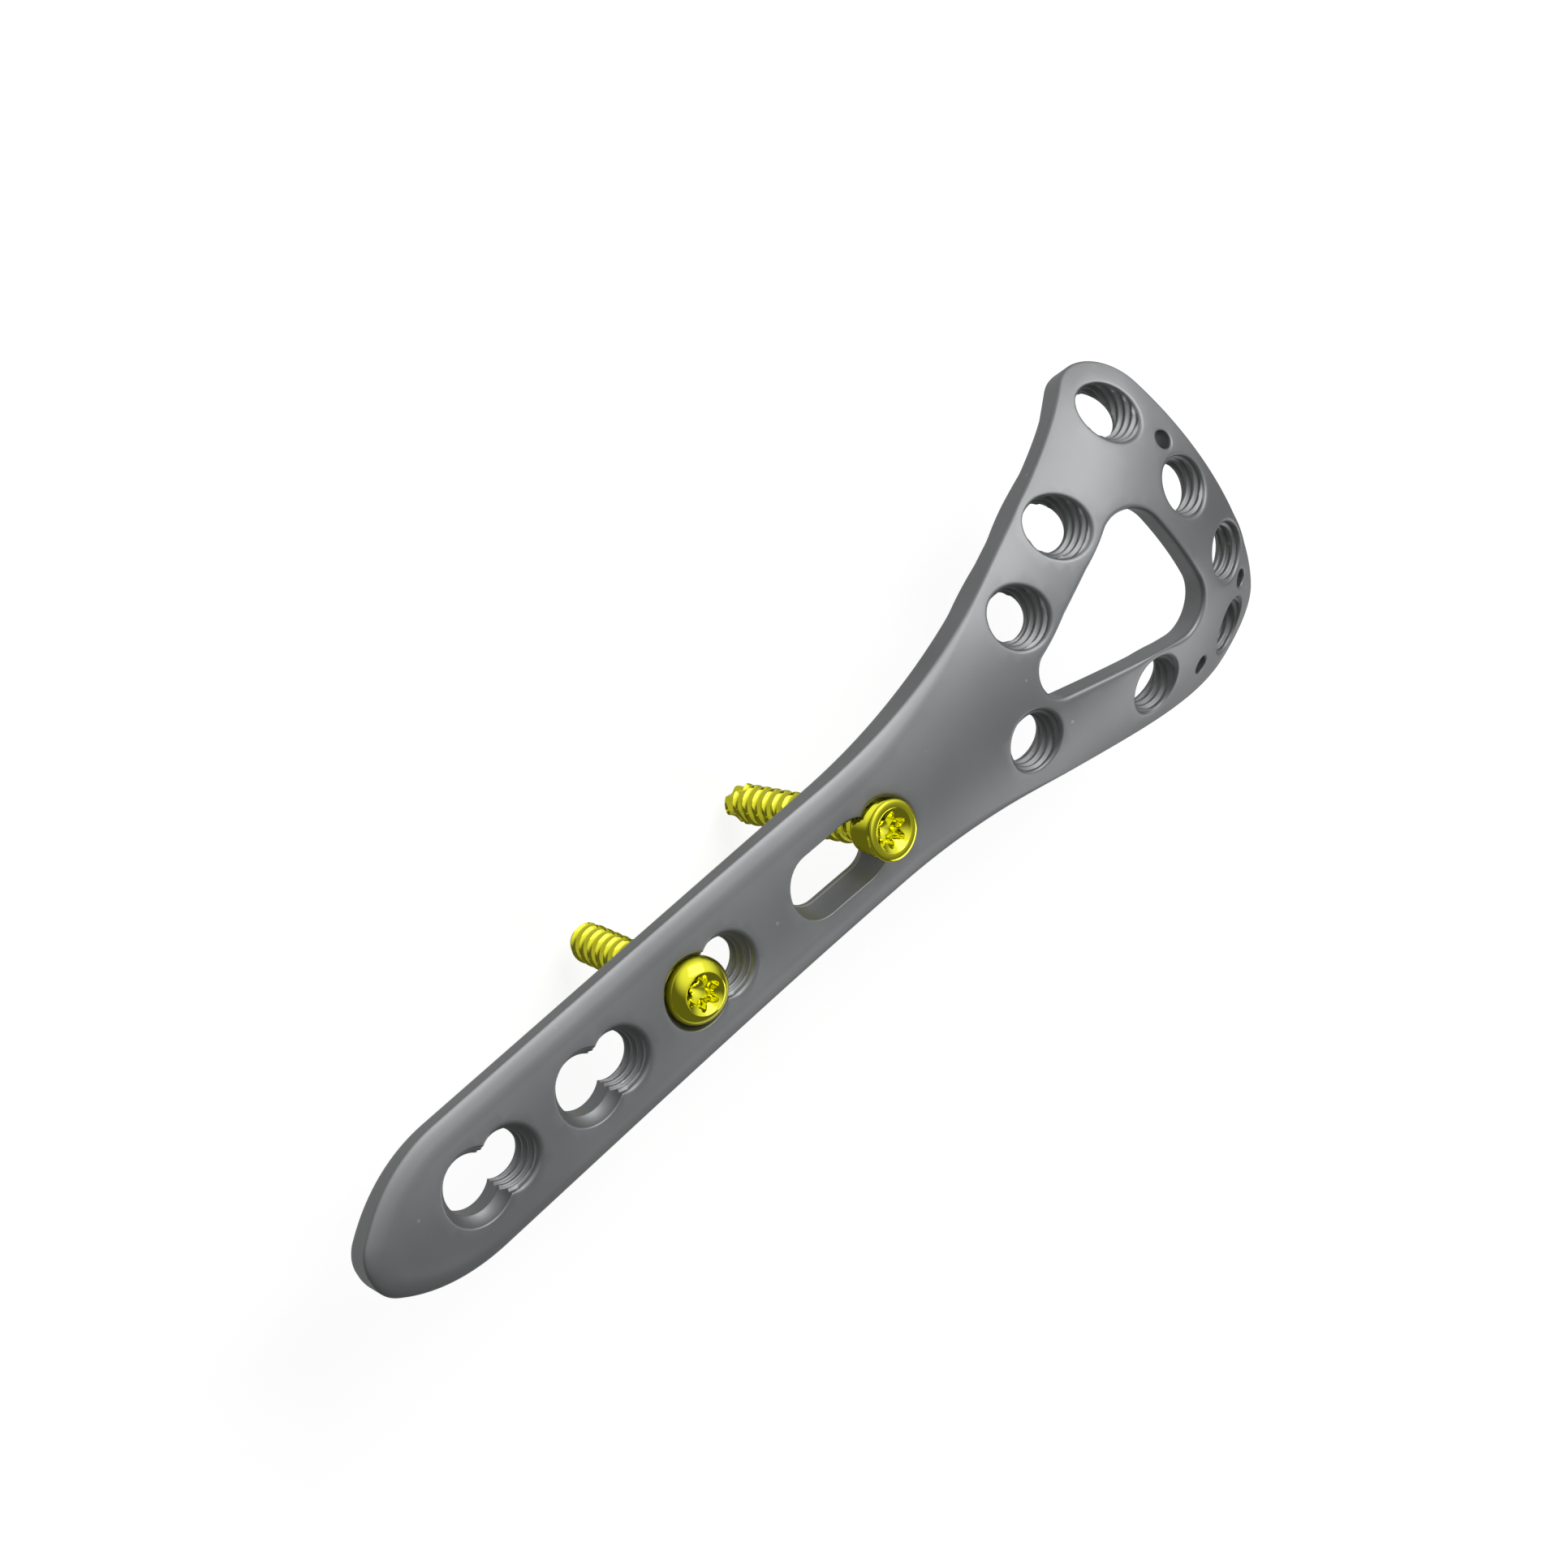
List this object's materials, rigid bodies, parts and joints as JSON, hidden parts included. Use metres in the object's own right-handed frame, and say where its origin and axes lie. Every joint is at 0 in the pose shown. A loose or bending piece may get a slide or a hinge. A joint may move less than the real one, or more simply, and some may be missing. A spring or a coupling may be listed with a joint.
{
  "type": "orthopedic bone plate",
  "caption": "Anatomically curved titanium bone plate with a flared head, threaded locking holes, combination holes, a three-sided window and two seated gold screws.",
  "frame": {"origin": "on the axis of the upright threaded hole at the neck of the head, level with the crown of the shaft", "axes": "+X along the shaft from the tip towards the head, +Y towards the long corner of the head, +Z out of the face that carries the screw heads, away from the bone"},
  "size_m": [0.1054, 0.0334, 0.0216],
  "materials": {
    "plate_titanium": "satin grey anodised titanium",
    "screw_titanium": "gold anodised titanium, polished"
  },
  "bodies": {
    "root": {"bone_plate": "plate_titanium", "locking_screw": "screw_titanium", "cortical_screw": "screw_titanium"}
  },
  "joints": []
}
